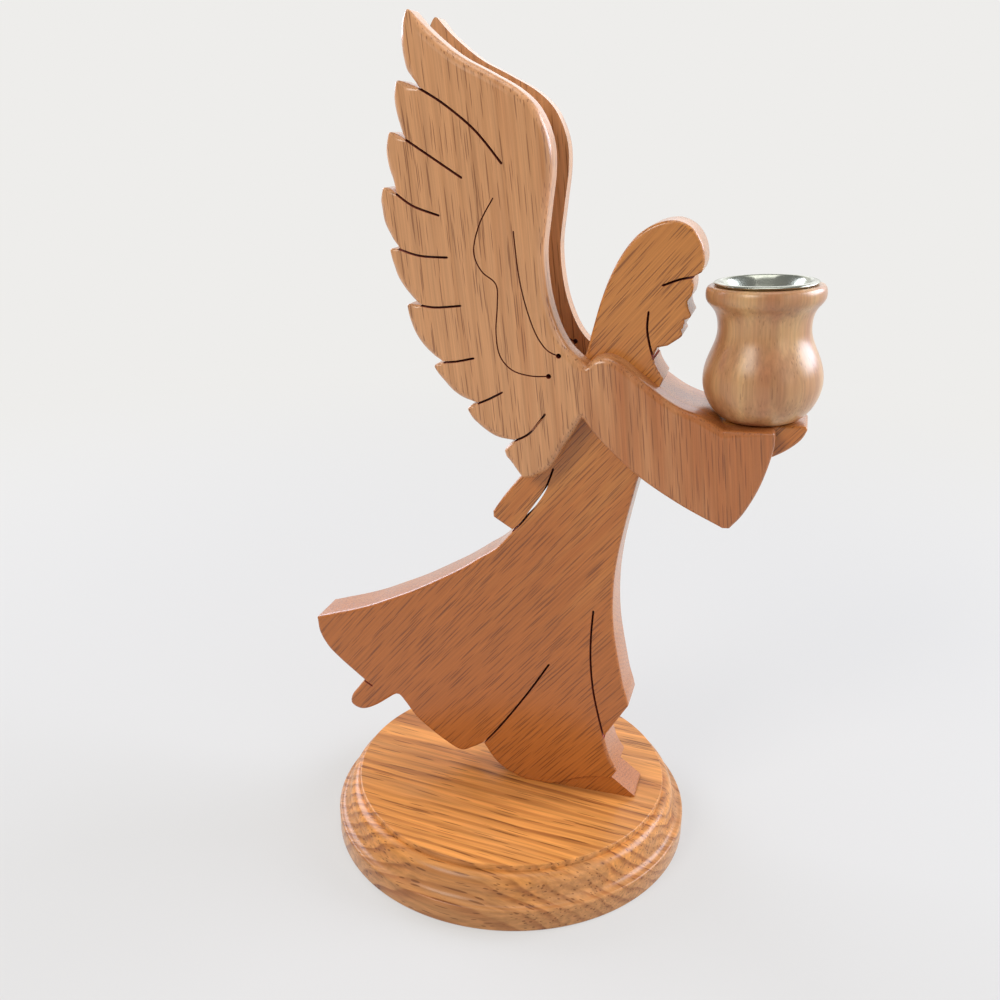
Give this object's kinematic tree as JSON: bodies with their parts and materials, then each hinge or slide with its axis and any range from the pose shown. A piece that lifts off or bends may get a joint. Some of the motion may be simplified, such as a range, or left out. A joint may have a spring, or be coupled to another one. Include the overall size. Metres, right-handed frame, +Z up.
{
  "type": "angel candle holder",
  "caption": "Scroll-sawn wooden winged figure in profile, holding out a turned candle cup with a metal insert, on a round ogee-edged base.",
  "frame": {"origin": "centre of the round base's underside", "axes": "+X the way the figure faces, +Y to the figure's left, +Z up"},
  "size_m": [0.1992, 0.152, 0.3269],
  "materials": {
    "base_oak": "satin varnished oak",
    "body_oak": "satin varnished oak, redder",
    "wing_oak": "satin varnished oak, paler",
    "cup_wood": "gloss varnished close-grained wood",
    "nickel_insert": "bright nickel plate",
    "zinc_steel": "zinc plated"
  },
  "bodies": {
    "holder": {"base": "base_oak", "base_screw_front": "zinc_steel", "base_screw_rear": "zinc_steel", "body_board": "body_oak", "right_wing_panel": "wing_oak", "left_wing_panel": "wing_oak", "candle_cup": "cup_wood", "cup_screw": "zinc_steel"},
    "insert": {"cup_insert": "nickel_insert"}
  },
  "joints": [
    {"name": "insert_lift", "type": "slide", "parent": "holder", "child": "insert", "axis": [-0.0523, 0, 0.9986], "range_m": [0, 0.03]}
  ]
}
